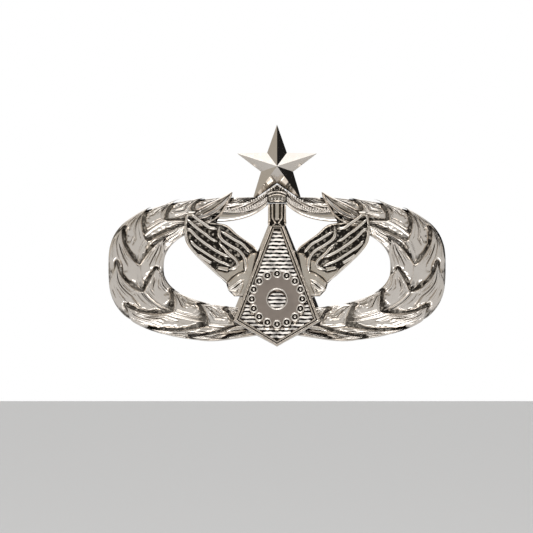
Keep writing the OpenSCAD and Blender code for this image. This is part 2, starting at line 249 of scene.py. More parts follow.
def polished(name, bright, dark, deep, high, smooth=0.13, speckle=0.0):
    """Plated metal: bright on the high places, with painted shade on what faces forward between the two
    given heights and in narrow gaps. Speckle leaves bright specks in that painted shade."""
    metal = bpy.data.materials.new(name)
    add = nodes_of(metal)
    coordinates = add("ShaderNodeTexCoord").outputs
    where = coordinates["Object"]
    depth = add("ShaderNodeSeparateXYZ", {"Vector": where}).outputs["Y"]
    facing = add("ShaderNodeSeparateXYZ", {"Vector": coordinates["Normal"]}).outputs["Y"]
    forward = add("ShaderNodeMapRange", {"Value": facing, "From Min": -0.2, "From Max": -0.7})
    # painted shade: forward faces darker the deeper they lie, mottled by a cloud
    height = add("ShaderNodeMapRange", {"Value": depth, "From Min": -deep * MM, "From Max": -high * MM})
    cloud = noise(add, where, 900.0, 4.0)
    patch = noise(add, where, 160.0, 3.0)
    fleck = noise(add, where, 3200.0, 2.0)
    grain = noise(add, where, 5200.0, 2.0)
    speck = add("ShaderNodeMath", {0: cloud, 1: 0.5}, operation="SUBTRACT")
    uneven = add("ShaderNodeMath", {0: speck.outputs[0], 1: 0.5, 2: height.outputs[0]},
                 operation="MULTIPLY_ADD")
    # painted shade in narrow gaps, from how closed in each spot is
    shut = add("ShaderNodeAmbientOcclusion", {"Distance": 0.55 * MM}, samples=6)
    lift = ramp(add, uneven.outputs[0], [(0.12, 0.0), (0.5, 1.0)])
    # bright specks left out of the painted shade
    glint = ramp(add, fleck, [(0.55, 0.0), (0.60, speckle)])
    lit_pit = mix(add, 1.0, lift, glint, "LIGHTEN")
    raised = mix(add, forward.outputs[0], (1, 1, 1, 1), lit_pit)
    clear = ramp(add, shut.outputs["AO"], [(0.22, 0.0), (0.60, 1.0)])
    # 1 where no painted shade falls, 0 under the full painted shade
    unshaded_share = mix(add, 1.0, raised, clear, "MULTIPLY")
    tone = mix(add, unshaded_share, (*dark, 1), (*bright, 1))
    tinted = mix(add, patch, tone, (0.93, 0.9, 0.84, 1), "MULTIPLY")
    gloss = add("ShaderNodeMapRange", {"Value": cloud, "From Min": 0.3, "From Max": 0.7,
                                       "To Min": smooth * 0.7, "To Max": smooth * 1.6})
    wave = add("ShaderNodeBump", {"Height": patch, "Strength": 0.25, "Distance": 0.03 * MM})
    bump = add("ShaderNodeBump", {"Height": grain, "Strength": 0.12 + speckle * 0.3,
                                  "Distance": 0.006 * MM, "Normal": wave.outputs["Normal"]})
    surface(add, {"Base Color": tinted, "Metallic": 1.0, "Roughness": gloss.outputs[0],
                  "Normal": bump.outputs["Normal"]})
    return metal


# the second tone is the painted shade in the pits and gaps of the plated metal
silver_tone, painted_shade_tone = (0.79, 0.745, 0.705), (0.04, 0.036, 0.032)
bright_tone = (0.9, 0.85, 0.81)
# painted shade on forward faces between 0.72 and 1.14 mm high and in gaps, with bright specks in it
leaf_metal = polished("polished_nickel_leaves", (0.85, 0.805, 0.765), painted_shade_tone, 0.72, 1.14, speckle=0.8)

branch_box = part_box("wreath_right")
wreath_half = branch_box[1].x / MM
wreath_middle = -3.9
wreath_rise = branch_box[1].z / MM - wreath_middle
wreath_drop = wreath_middle - branch_box[0].z / MM
band_width, inner_rise, inner_drop = 6.7, 5.8, 5.0
outer_power, inner_power = 3.0, 2.4
plate_height, leaf_base, leaf_height = 0.8, 0.62, 1.65
# the branches stop just short of each other, and the plate lies just inside the leaves' edges
end_gap, plate_share = 0.05, 0.955


def signed_power(value, power):
    """A power of the value's size, with the value's sign."""
    return math.copysign(abs(value) ** power, value)


def loop_point(half, drop, rise, power, turn):
    """A point on a squared ellipse round the middle of the wreath, from its foot at -90 degrees."""
    c, s = math.cos(math.radians(turn)), math.sin(math.radians(turn))
    tall = drop if turn < 0 else rise
    return Vector((half * signed_power(c, 2 / power), wreath_middle + tall * signed_power(s, 2 / power)))


turns = [t / 2 for t in range(-180, 181)]
outer = np.array([loop_point(wreath_half, wreath_drop, wreath_rise, outer_power, t) for t in turns])
inner = np.array([loop_point(wreath_half - band_width, inner_drop, inner_rise, inner_power, t)
                  for t in turns])
# the outer edge draws in towards the shield's point, and the inner one makes way for the windows
# under the crest
foot_rise, foot_reach = 1.1, 9.0
below = outer[:, 1] < wreath_middle
outer[below, 1] += foot_rise * np.clip(1 - (outer[below, 0] / foot_reach) ** 2, 0, 1) ** 2
crest_low = np.array([(1.1, 3.8), (3, 1.7), (7.3, 1.65)])
crest_hem = np.array([(1.25, 4.3), (3.2, 2.5), (6.6, 2.95)])
crest_high = np.array([(1.1, 5.4), (2.6, 3.7), (6.1, 3.95)])


def bend(curve, u):
    """A point on the smooth bend through the first and last of three points, leaning to the middle one."""
    return curve[0] * (1 - u) ** 2 + curve[1] * 2 * u * (1 - u) + curve[2] * u * u


under_crest = np.array([bend(crest_low, u) for u in np.linspace(0, 1, 20)])
above = (inner[:, 1] > wreath_middle) & (inner[:, 0] < crest_low[2, 0])
inner[above, 1] = np.maximum(inner[above, 1], 0.25 + np.interp(inner[above, 0], *under_crest.T))
middle = (outer + inner) / 2
walk = np.concatenate([[0], np.cumsum(np.hypot(*np.diff(middle, axis=0).T))])
band_length = walk[-1]


def on_band(distance, across):
    """Points at distances along the band from its foot; across is -1 at the inner edge, 1 at the outer."""
    near, far = [np.stack([np.interp(distance, walk, edge[:, k]) for k in (0, 1)], -1)
                 for edge in (inner, outer)]
    share = (np.asarray(across)[..., None] + 1) / 2
    return near * (1 - share) + far * share


def dip(value, centre, width):
    """A rounded groove or ridge: 1 at the centre, falling to nothing within about two widths."""
    return np.exp(-((value - centre) / width) ** 2)


def ease(value):
    """Rises smoothly from 0 to 1 as the value does."""
    value = np.clip(value, 0, 1)
    return value * value * (3 - 2 * value)


leaf_back = 5.2
# Where the leaves of a pair part, how far to one side of the middle, and then how far past the
# fork and how far across the band the tips of the outer and the inner leaf come. Hand-cut, so
# no two pairs are alike.
leaf_pairs = [(1.2, 0.0, (4.0, 0.90), (3.4, 0.90)), (4.7, 0.05, (4.1, 0.87), (3.7, 0.90)),
              (8.1, 0.15, (5.0, 0.94), (3.9, 0.86)), (13.2, -0.12, (3.7, 0.70), (3.2, 0.92)),
              (17.6, -0.08, (3.7, 0.70), (3.1, 0.75)), (21.1, -0.12, (4.1, 0.87), (4.4, 0.60)),
              (24.3, -0.20, (4.9, 1.08), (4.8, 0.55)), (28.2, 0.12, (4.6, 1.20), (4.2, 0.70)),
              (31.3, 0.0, (3.8, 1.08), (3.8, 0.85)), (34.4, 0.0, (3.6, 1.10), (3.4, 0.85)),
              (37.6, 0.0, (3.4, 1.0), (3.4, 0.85))]
# how far across a leaf each of its veins runs, and how deep it is cut
leaf_veins = ((0.17, 0.05), (0.28, 0.08), (0.40, 0.15), (0.50, 0.04), (0.60, 0.11), (0.72, 0.04),
              (0.83, 0.08))
slot_depth, slot_width = 0.62, 0.21
hollow_depth, hollow_width = 0.22, 0.6


def tip_curve(past, split, tip_across):
    """How far across the band the inner side of a leaf lies, from the fork at 0 to the tip at 1."""
    return split + (tip_across - split) * (1 - (1 - past) ** 1.45)


def band_leaf(pair, hand, tall):
    """One leaf of a pair. From its hidden base it fills its half of the band, and past the fork it
    draws away from the middle to a point near the edge. A slot is sunk round the leaf before it,
    and veins of uneven length run towards the point."""
    fork, split = leaf_pairs[pair][:2]
    reach, tip_across = leaf_pairs[pair][2 if hand > 0 else 3]
    along = np.linspace(-leaf_back, reach, 62)[:, None]
    v = np.linspace(0, 1, 61)[None, :]
    past = np.clip(along / reach, 0, 1)
    inner_side = tip_curve(past, split * hand, tip_across)
    outer_side = 0.90 + 0.10 * ease((along + leaf_back * 0.75) / 2.2)
    outer_side = outer_side - (outer_side - tip_across) * ease((past - 0.40) / 0.60)
    across = inner_side + (outer_side - inner_side) * v
    share = (along + leaf_back) / (leaf_back + reach)
    h = leaf_base + (tall - leaf_base) * share ** 1.15 + 0 * v
    # crowned across, with a raised line along the inner side, and both edges drawn down
    h = h + 0.10 * np.sin(np.pi * v) ** 0.6 - 0.30 * np.abs(across) ** 6
    h = h + 0.10 * dip(v, 0.085, 0.03) - 0.17 * np.clip(1 - v / 0.055, 0, 1) * ease(along * 2 + 0.5)
    h = h - 0.15 * np.clip(1 - (1 - v) / 0.05, 0, 1)
    if pair:
        before, before_split = leaf_pairs[pair - 1][:2]
        before_reach, before_tip = leaf_pairs[pair - 1][2 if hand > 0 else 3]
        gone = (fork + along - before) / before_reach
        edge = tip_curve(np.clip(gone, 0, 1), before_split * hand, before_tip)
        apart = (edge - across) * band_width / 2
        uneven = 1 + 0.28 * np.sin(along * 3.1 + random.uniform(0, 6)) + 0.15 * np.sin(along * 8.3)
        slot = dip(apart, 0.04, slot_width * uneven) * ease(gone * 4 + 0.6) * ease((1.15 - gone) * 4)
        hollow = dip(apart, 0.05, hollow_width * uneven) * ease(gone * 3) * ease((1.1 - gone) * 4)
        h = h - slot_depth * slot
        h = h - hollow_depth * hollow
    for place, depth in leaf_veins:
        start, stop = random.uniform(0.35, 0.65), random.uniform(0.76, 0.94)
        here = place + random.uniform(-0.04, 0.04)
        on = ease((share - start) / 0.1) * ease((stop - share) / 0.08)
        h = h - depth * on * dip(v, here, 0.024) + 0.3 * depth * on * dip(v, here + 0.05, 0.03)
    # faint streaks that drift along the leaf
    streaks = np.array([[random.gauss(0, 0.0045) for _ in range(v.size)] for _ in range(7)])
    rows = np.linspace(0, len(streaks) - 1, len(along))
    under = np.minimum(rows.astype(int), len(streaks) - 2)
    part = (rows - under)[:, None]
    h = h + (streaks[under] * (1 - part) + streaks[under + 1] * part) * ease(share * 2.5)
    spots = on_band(np.clip(fork + along + 0 * v, end_gap, band_length - end_gap), hand * across)
    return relief(np.concatenate([spots, np.maximum(h, 0.3)[..., None]], -1), 0.2)


def bar(line, width, top, foot=0.5, crown=1.35, sides=9):
    """A raised ridge along a line of (x, z) points; a higher crown number makes its top flatter."""
    rows, count = [], len(line)
    for i, spot in enumerate(line):
        way = (line[min(i + 1, count - 1)] - line[max(i - 1, 0)]).normalized()
        side = Vector((-way.y, way.x))
        u = i / (count - 1)
        ends = min(1, 8 * u + 0.35, 8 * (1 - u) + 0.35)
        half = width / 2 * ends
        row = []
        for j in range(sides):
            a = math.pi * j / (sides - 1)
            edge = spot - side * half * math.cos(a)
            rise = 1 - abs(math.cos(a)) ** crown
            row.append((edge.x, edge.y, top - width * 0.7 + width * 0.7 * rise * ends))
        rows.append(row)
    return relief(rows, foot)


def smooth_line(points, n=26):
    """A smooth curve through a few points."""
    spots = [Vector(p) for p in points]
    spots = [spots[0] * 2 - spots[1]] + spots + [spots[-1] * 2 - spots[-2]]
    line = []
    spans = len(spots) - 3
    for k in range(n + 1):
        t = min(k / n * spans, spans - 1e-6)
        i, u = int(t), t - int(t)
        a, b, c, d = spots[i:i + 4]
        line.append(((b * 2) + (c - a) * u + (a * 2 - b * 5 + c * 4 - d) * u ** 2
                     + (b * 3 - a - c * 3 + d) * u ** 3) / 2)
    return line


def mirrored(shells):
    """The same shells on the other side of the badge."""
    flip = np.array([-1, 1, 1])
    return [(points * flip, faces) for points, faces in shells]


def branch_plate():
    """The flat plate behind the leaves, with rounded edges."""
    across = np.array([-1.0, -0.98, -0.93, -0.8, -0.4, 0.0, 0.4, 0.8, 0.93, 0.98, 1.0])[None, :]
    along = np.linspace(end_gap, band_length - end_gap, 150)[:, None]
    spots = on_band(along + 0 * across, across * plate_share + 0 * along)
    h = plate_height - 0.2 * np.clip((np.abs(across) - 0.9) / 0.1, 0, 1) ** 2 + 0 * along
    return relief(np.concatenate([spots, h[..., None]], -1), 0.0)


def branch_leaves():
    """All the leaves of a branch, no two quite as high."""
    return [band_leaf(pair, hand, leaf_height + random.uniform(-0.06, 0.04))
            for pair in range(len(leaf_pairs)) for hand in (-1, 1)]


def foot_rims():
    """The raised rims of the lowest leaves, which pass under the shield's point."""
    return [bar([Vector(on_band(d, across)) for d in np.linspace(0.3, end, 30)], 0.3, top)
            for across, end, top in ((0.94, 8.0, 1.35), (0.55, 6.0, 1.5))]


branch = [branch_plate()] + branch_leaves() + foot_rims()
for name, shells in (("wreath_right", branch), ("wreath_left", mirrored(branch))):
    struck = piece(name + "_struck", shells, leaf_metal)
    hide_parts(name)


# ---------------------------------------------------------------- star
# A five-pointed star with ten flat facets rising to a peak. It is struck from the same plated
# brass on its own, polished all over, and sweated on behind the crest.
star_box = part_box("star")
star_points, star_middle = 5, 8.4
star_radius = star_box[1].z / MM - star_middle
star_inner = 2.05
star_rim, star_peak = 0.8, -star_box[0].y / MM
# painted shade only in narrow gaps; its facets lie above the heights that are shaded
star_metal = polished("polished_nickel_star", silver_tone, painted_shade_tone, 0.0, 0.5, 0.1)


def bands(rings, count, closed=False):
    """The faces between rings of points listed one after the other; closed joins the last to the first."""
    faces = []
    for k in range(rings if closed else rings - 1):
        a, b = k * count, (k + 1) % rings * count
        for i in range(count):
            j = (i + 1) % count
            faces.append((a + i, a + j, b + j, b + i))
    return faces


def star():
    """The star's outline with a short wall round it, and its facets rising to the peak."""
    corners = []
    for i in range(2 * star_points):
        reach = star_radius if i % 2 == 0 else star_inner
        turn = math.radians(90 + i * 180 / star_points)
        corners.append((reach * math.cos(turn), reach * math.sin(turn)))
    points = []
    for share, height in ((1.0, 0.06), (1.0, star_rim - 0.1), (0.97, star_rim)):
        points += [(x * share, star_middle + z * share, height) for x, z in corners]
    points.append((0, star_middle, star_peak))
    count = len(corners)
    faces = [tuple(range(count))] + bands(3, count)
    faces += [(2 * count + i, 2 * count + (i + 1) % count, 3 * count) for i in range(count)]
    return np.array(points, float), faces


shown_star = piece("star_struck", [star()], star_metal, crease=8)
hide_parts("star")


# ---------------------------------------------------------------- crest
# Two end leaves sweep down from the collar over the wreath: each has a smooth lower hem, a
# double row of beads along it, and a veined upper part. Struck in nickel-plated brass, with
# painted shade between the beads.
def sweep(low_curve, high_curve, height, foot=0.4, rows=60, columns=33):
    """A strip between two bends; height gives its relief from the way along and the way across."""
    u = np.linspace(0, 1, rows)[:, None]
    v = np.linspace(0, 1, columns)[None, :]
    low = np.array([bend(low_curve, t) for t in u[:, 0]])[:, None]
    high = np.array([bend(high_curve, t) for t in u[:, 0]])[:, None]
    spots = low + (high - low) * v[..., None]
    h = height(u, v) + 0 * u * v
    return relief(np.concatenate([spots, h[..., None]], -1), foot)


def hem(u, v):
    """A smooth half-round strip."""
    return 1.25 + 0.32 * np.sin(np.pi * v) ** 0.5


def veined(u, v):
    """A strip that rises to its far edge, cut with slanting veins."""
    veins = 0.12 * np.sin(v * 15 + u * 26) * np.sin(np.pi * v)
    return 1.35 + 0.35 * v ** 0.5 + veins - 0.25 * dip(v, 1, 0.08)


def hoop(x, z, r, h, steps):
    """Points evenly round a circle at one height."""
    angles = [2 * math.pi * i / steps for i in range(steps)]
    return [(x + r * math.cos(a), z + r * math.sin(a), h) for a in angles]


def bead(x, z, h, r, turns=10, levels=5):
    """A small dome on a short point that sinks into the metal under it."""
    points, faces = [(x, z, h - r)], []
    for k in range(levels):
        a = math.pi / 2 * k / levels
        points += hoop(x, z, r * math.cos(a), h + r * math.sin(a), turns)
    points.append((x, z, h + r))
    last = len(points) - 1
    for i in range(turns):
        j = (i + 1) % turns
        faces.append((0, 1 + j, 1 + i))
        for k in range(levels - 1):
            a, b = 1 + k * turns, 1 + (k + 1) * turns
            faces.append((a + i, a + j, b + j, b + i))
        faces.append((1 + (levels - 1) * turns + i, 1 + (levels - 1) * turns + j, last))
    return np.array(points, float), faces


def crest_beads():
    """Two rows of small beads over the hem, and one down the crest's top edge from the finial."""
    shells = []
    bead_height, bead_reach = 1.55, 0.17
    for low, high, v, count in ((crest_hem, crest_high, 0.10, 19), (crest_hem, crest_high, 0.32, 18),
                                (crest_low, crest_hem, 1.02, 24)):
        for i in range(count):
            u = (i + 0.3) / count
            x, z = bend(low, u) * (1 - v) + bend(high, u) * v
            shells.append(bead(x, z, bead_height, bead_reach))
    top_beads, top_step = 9, 0.06
    for i in range(top_beads):
        x, z = bend(crest_high, top_step * i + 0.02)
        shells.append(bead(x, z, 1.6, 0.15))
    return shells


def leaf(start, middle, end, width, low, high, rows=30, columns=33):
    """A free laurel leaf along a bent spine: pointed, with a raised rim and a midrib."""
    u = np.linspace(0, 1, rows)[:, None]
    v = np.linspace(-1, 1, columns)[None, :]
    a, b, c = (np.array(p)[None, None, :] for p in (start, middle, end))
    spine = a * ((1 - u) ** 2)[..., None] + b * (2 * u * (1 - u))[..., None] + c * (u * u)[..., None]
    way = (b - a) * (1 - u)[..., None] + (c - b) * u[..., None]
    way = way / np.linalg.norm(way, axis=-1, keepdims=True)
    side = np.stack([-way[..., 1], way[..., 0]], -1)
    half = width * (u + 0.04) ** 0.42 * (1.002 - u) ** 0.60
    spots = spine + side * (half * v)[..., None]
    h = low + (high - low) * np.clip(u * 1.25, 0, 1) ** 1.2
    h = h + 0.08 * dip(np.abs(v), 0.84, 0.10) - 0.14 * dip(v, 0, 0.06) - 0.10 * v * v
    return relief(np.concatenate([spots, (h + 0 * v)[..., None]], -1), 0.3)


def end_leaf():
    """The long leaf that crosses the end of the crest, with its bright raised edge."""
    body = leaf(Vector((9.9, 2.3)), Vector((7.6, 3.0)), Vector((5.5, 5.2)), 1.25, 1.35, 1.45)
    edges = [[(8.9, 1.6), (7.6, 2.0), (6.7, 2.8), (6.05, 3.9), (5.45, 5.25)],
             [(9.7, 3.1), (8.5, 3.7), (7.2, 4.3), (6.2, 4.8), (5.5, 5.25)],
             [(9.0, 2.5), (7.8, 3.1), (6.8, 3.9)]]
    edge_height, edge_widths = 1.75, (0.28, 0.22, 0.16)
    return [body] + [bar(smooth_line(line), width, edge_height) for line, width in zip(edges, edge_widths)]


# painted shade on forward faces between 1.25 and 1.6 mm high and in gaps, with bright specks in it
crest_metal = polished("polished_nickel_crest", bright_tone, painted_shade_tone, 1.25, 1.6, speckle=0.8)
half_crest = ([sweep(crest_low, crest_hem, hem), sweep(crest_hem, crest_high, veined)] + crest_beads()
              + end_leaf())
for name, shells in (("crest_right", half_crest), ("crest_left", mirrored(half_crest))):
    swept = piece(name + "_struck", shells, crest_metal)
    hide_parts(name)


# ---------------------------------------------------------------- wings
# A pair of small folded wings: a plate with a smooth shoulder, and long hollow feathers between
# raised bright ridges. Struck like the leaves, with painted shade in the hollows between the ridges.
# painted shade on forward faces between 0.75 and 1.4 mm high and in gaps, with bright specks in it
wing_metal = polished("polished_nickel_wings", (0.96, 0.92, 0.88), (0.035, 0.032, 0.03), 0.75, 1.4, speckle=1.0)
wing_floor, ridge_height = 0.75, 1.85
wing_outline = [(0.9, 0.0), (2.4, -1.9), (4.2, -0.4), (6.1, 1.2), (7.3, 1.55), (9.2, 1.7), (10.6, 2.9),
                (11.1, 2.1), (11.2, 0.6), (10.95, -0.8), (10.1, -2.1), (8.95, -3.25), (7.8, -4.3),
                (6.2, -5.8), (5.9, -6.7), (5.2, -7.4), (3.4, -7.4)]


def slab(outline, low, high, edge=0.12):
    """A flat plate with a chamfered front edge, from an outline that turns clockwise or back."""
    ring = [Vector(p) for p in outline]
    count = len(ring)
    area = sum(ring[i].x * ring[(i + 1) % count].y - ring[(i + 1) % count].x * ring[i].y
               for i in range(count))
    inward = 1 if area > 0 else -1
    drawn = []
    for i in range(count):
        a = (ring[i] - ring[i - 1]).normalized()
        b = (ring[(i + 1) % count] - ring[i]).normalized()
        na, nb = Vector((-a.y, a.x)) * inward, Vector((-b.y, b.x)) * inward
        both = (na + nb).normalized()
        drawn.append(ring[i] + both * edge / max(0.4, both.dot(na)))
    points = [(p.x, p.y, low) for p in ring] + [(p.x, p.y, high - edge) for p in ring]
    points += [(p.x, p.y, high) for p in drawn]
    faces = [tuple(range(count)), tuple(range(3 * count - 1, 2 * count - 1, -1))] + bands(3, count)
    return np.array(points, float), faces


# Middle lines of the raised ridges of the right wing, from its side edge in to the shoulder
feathers = [[(10.4, 2.6), (9.7, 2.0), (8.9, 1.45), (8.2, 0.95), (7.3, 0.8)],
            [(10.9, 2.0), (10.2, 1.3), (9.5, 0.7), (8.7, 0.15), (8.0, -0.4), (7.3, -0.75)],
            [(10.9, 0.9), (10.3, 0.45), (9.6, -0.3), (8.2, -1.35), (6.8, -2.2), (5.7, -2.65)],
            [(10.5, -0.6), (10.0, -1.2), (9.2, -1.8), (7.3, -3.0), (6.4, -3.4), (5.6, -3.75)],
            [(9.6, -2.3), (8.7, -2.9), (7.9, -3.4)],
            [(6.8, 0.5), (6.0, 0.0), (5.2, -0.5), (4.3, -1.0), (3.8, -1.5), (3.3, -2.1)],
            [(7.0, 1.1), (7.05, 0.2), (6.8, -0.4), (6.2, -0.9), (5.4, -1.4), (4.7, -1.8), (4.2, -2.3),
             (3.9, -2.9), (3.75, -3.6), (3.85, -4.3)],
            [(7.0, -1.0), (6.4, -1.6), (5.9, -2.2), (5.3, -2.7), (4.9, -3.1), (4.8, -3.5),
             (5.1, -3.9), (5.9, -4.15)],
            [(4.0, -5.4), (4.7, -5.7), (5.3, -6.2), (5.75, -6.45), (5.2, -6.6), (4.6, -6.2), (4.1, -5.7)],
            [(4.2, -5.9), (4.45, -6.5), (4.7, -7.1)]]
wing_top_edge = [(10.5, 2.75), (9.2, 1.65), (7.4, 1.4), (6.1, 1.1), (5.0, 0.15), (4.0, -0.55), (3.0, -1.3),
                 (2.4, -1.95)]
wing_low_edge = [(10.6, 2.7), (11.0, 2.0), (11.1, 0.6), (10.85, -0.75), (10.0, -2.0), (8.85, -3.15),
                 (7.7, -4.2), (6.1, -5.65)]


# The smooth shoulder against the shield, the flat at the foot of the feathers, the rim there, and
# the wing's tip: each with its height and the width of its chamfer
flats = [([(2.4, -2.1), (3.3, -2.2), (3.85, -3.2), (3.9, -4.35), (4.7, -4.6), (5.2, -5.0),
           (6.0, -5.7), (5.8, -6.6), (5.1, -7.3), (3.4, -7.3)], 1.5, 0.22),
         ([(4.0, -2.9), (4.7, -3.2), (4.75, -3.7), (5.1, -4.1), (6.2, -4.45), (7.4, -4.1),
           (7.6, -4.3), (6.1, -5.7), (5.5, -5.0), (4.7, -4.5), (4.0, -4.2)], 1.45, 0.15),
         ([(5.9, -3.9), (7.1, -3.75), (7.2, -4.05), (6.0, -4.35)], 1.75, 0.12),
         ([(9.9, 2.9), (10.8, 2.9), (10.9, 2.4), (10.3, 2.3)], 1.7, 0.15)]
ridge_width, ridge_crown, ridge_step = 0.48, 2.6, 0.08
edge_drop, flat_foot = 0.2, 0.3


def wing():
    """The wing's plate, the feathers' ridges, its two edges and its flats."""
    shells = [slab(wing_outline, 0.03, wing_floor)]
    for k, line in enumerate(feathers):
        top = ridge_height - ridge_step * (k % 2)
        shells.append(bar(smooth_line(line, 36), ridge_width, top, crown=ridge_crown, sides=13))
    top = ridge_height - edge_drop
    shells.append(bar(smooth_line(wing_top_edge, 40), 0.26, top))
    shells.append(bar(smooth_line(wing_low_edge, 44), 0.42, top, crown=ridge_crown, sides=13))
    shells += [slab(outline, flat_foot, high, edge) for outline, high, edge in flats]
    return shells


right_wing = wing()
for name, shells in (("wing_right", right_wing), ("wing_left", mirrored(right_wing))):
    feathered = piece(name + "_struck", shells, wing_metal)
    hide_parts(name)


# ---------------------------------------------------------------- shield
# The tall kite shield in front: drafted side walls, a border of two narrow raised lines, and a
# ground of close horizontal ribs. Struck in plated brass, bright on the ribs with painted shade
# between them, and sweated on over the wings and the foot of the wreath.
# painted shade on forward faces between 1.5 and 1.72 mm high and in gaps
shield_metal = polished("polished_nickel_shield", bright_tone, painted_shade_tone, 1.50, 1.72)
shoulder_x, shoulder_z, corner_x, corner_z, point_z = 0.85, 1.2, 5.25, -10.4, -13.5
draft, border_height, ground_height = 0.5, 2.3, 1.5
rib_pitch, rib_inset = 0.47, 0.6
# across a rib from its steep lower side: how far, how high, and how much of the slope it falls by
rib_section = ((-0.19, 0, 0), (-0.16, 0.34, 0), (-0.12, 0.43, 0), (-0.04, 0.43, 0.08), (0.05, 0.43, 0.17),
               (0.14, 0.43, 0.26), (0.18, 0, 0))


def kite(inset):
    """The shield's outline drawn in from its edge, from the left shoulder round by the point."""
    lean = (corner_x - shoulder_x) / (shoulder_z - corner_z)
    slope = math.sqrt(1 + lean * lean)
    side = inset * slope
    low = inset * math.sqrt(1 + ((corner_z - point_z) / corner_x) ** 2)
    top_z = shoulder_z - inset * 0.6
    top_x = max(0.03, shoulder_x + (shoulder_z - top_z) * lean - side)
    apex_z = min(top_z, shoulder_z + (shoulder_x - side) / lean)
    rise = (corner_z - point_z) / corner_x
    # the lower corner lies where the drawn-in side meets the drawn-in foot
    x = (shoulder_x - side + (shoulder_z - (point_z + low)) * lean) / (1 + rise * lean)
    z = point_z + low + rise * x
    return [(-top_x, apex_z), (-x, z), (0, point_z + low), (x, z), (top_x, apex_z)]


def frustum(low_ring, low, high_ring, high):
    """A solid between two outlines with the same number of corners."""
    count = len(low_ring)
    points = [(x, z, low) for x, z in low_ring] + [(x, z, high) for x, z in high_ring]
    faces = [tuple(range(count)), tuple(range(2 * count - 1, count - 1, -1))] + bands(2, count)
    return np.array(points, float), faces


def border(outer_inset, inner_inset, top):
    """A raised line round the shield between two insets."""
    section = ((0.0, 1.2), (0.0, top - 0.1), (0.3, top), (0.7, top), (1.0, top - 0.1), (1.0, 1.2))
    points = [(x, z, height) for share, height in section
              for x, z in kite(outer_inset + (inner_inset - outer_inset) * share)]
    return np.array(points, float), bands(len(section), len(kite(0)), True)


def rib(z):
    """One rib across the shield: a steep lower side, and a broad upper side that catches the light."""
    foot, corner, shoulder = kite(rib_inset)[2:]
    half = np.interp(-z, [-shoulder[1], -corner[1], -foot[1]], [shoulder[0], corner[0], 0.02])
    rows, spots = [], 24
    for i in range(spots + 1):
        x = -half + 2 * half * i / spots
        wander = 0.03 * math.sin(x * 5.3 + z * 9) + 0.02 * math.sin(x * 11 + z * 5)
        slope = 0.45 + 0.035 * math.sin(x * 2.9 + z * z * 1.7)
        rows.append([(x, z + wander + across, ground_height + height - fall * slope)
                     for across, height, fall in rib_section])
    return relief(rows, ground_height - 0.3)


# the skirt of the drafted sides: full at the lower corners, half at the shoulders, none at the point
shoulder_left, corner_left, foot, corner_right, shoulder_right = kite(0.0)
skirt = [(shoulder_left[0] - draft / 2, shoulder_left[1]), (corner_left[0] - draft, corner_left[1]), foot,
         (corner_right[0] + draft, corner_right[1]), (shoulder_right[0] + draft / 2, shoulder_right[1])]
shield_shells = [frustum(skirt, 0.015, kite(0.0), ground_height),
                 border(0.0, 0.3, border_height), border(0.36, 0.62, border_height - 0.08)]
z = shoulder_z - 0.8
while z > point_z + 1.0:
    shield_shells.append(rib(z))
    z -= rib_pitch
shown_shield = piece("shield_struck", shield_shells, shield_metal)
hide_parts("shield")


# ---------------------------------------------------------------- toothed disc
# A thin disc with sixteen round gullets and a hole through which the ribs show, blanked from
# sheet and fixed on the shield. Its face is blasted matte, a warm darker grey against the
# polished ground, and the rims and bosses in the gullets are bright.
disc_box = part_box("toothed_disc")
disc_middle = (disc_box[0].z + disc_box[1].z) / 2 / MM
disc_reach = (disc_box[1].x - disc_box[0].x) / 2 / MM
disc_back, disc_front = -disc_box[1].y / MM, -disc_box[0].y / MM
disc_teeth, gullet, hub = 16, 0.44, 1.12


def matte(name, tone):
    """Nickel plating that was blasted dull: even, fine-grained, with a slight cloudiness."""
    metal = bpy.data.materials.new(name)
    add = nodes_of(metal)
    where = add("ShaderNodeTexCoord").outputs["Object"]
    cloud = noise(add, where, 700.0, 5.0)
    grain = noise(add, where, 9000.0, 2.0)
    shade = ramp(add, cloud, [(0.3, tuple(c * 0.86 for c in tone)), (0.7, tone)])
    rough = add("ShaderNodeMapRange", {"Value": grain, "To Min": 0.36, "To Max": 0.52})
    bump = add("ShaderNodeBump", {"Height": grain, "Strength": 0.5, "Distance": 0.008 * MM})
    surface(add, {"Base Color": shade, "Metallic": 1.0, "Roughness": rough.outputs[0],
                  "Normal": bump.outputs["Normal"]})
    return metal


def disc_edge(turn, reach):
    """Distance of the disc's edge from its centre: a circle with round bites between the teeth."""
    pitch = 2 * math.pi / disc_teeth
    off = (turn + pitch / 2) % pitch - pitch / 2
    centre = disc_reach - gullet / 2
    under = gullet ** 2 - (centre * math.sin(off)) ** 2
    if under > 0:
        return min(reach, centre * math.cos(off) - math.sqrt(under) + (disc_reach - reach) * 0.5)
    return reach


def toothed_disc():
    """The disc's toothed wall with a small chamfer, its flat face, and the wall of its hole."""
    points, steps = [], disc_teeth * 24
    for share, height in ((1.0, disc_back), (1.0, disc_front - 0.07), (0.985, disc_front)):
        for i in range(steps):
            turn = 2 * math.pi * i / steps
            r = disc_edge(turn, disc_reach * share)
            points.append((r * math.cos(turn), disc_middle + r * math.sin(turn), height))
    for reach, height in ((hub + 0.1, disc_front), (hub, disc_front - 0.08), (hub, disc_back)):
        points += hoop(0, disc_middle, reach, height, steps)
    return np.array(points, float), bands(len(points) // steps, steps, True)


def ring(x, z, reach, width, top, foot, turns=28, sides=7):
    """A small raised ring."""
    rows = []
    for j in range(sides):
        a = math.pi * j / (sides - 1)
        rows.append((reach - width / 2 * math.cos(a), top - width * 0.6 + width * 0.6 * math.sin(a)))
    rows += [(reach + width / 2, foot), (reach - width / 2, foot)]
    points = [spot for r, h in rows for spot in hoop(x, z, r, h, turns)]
    return np.array(points, float), bands(len(rows), turns, True)


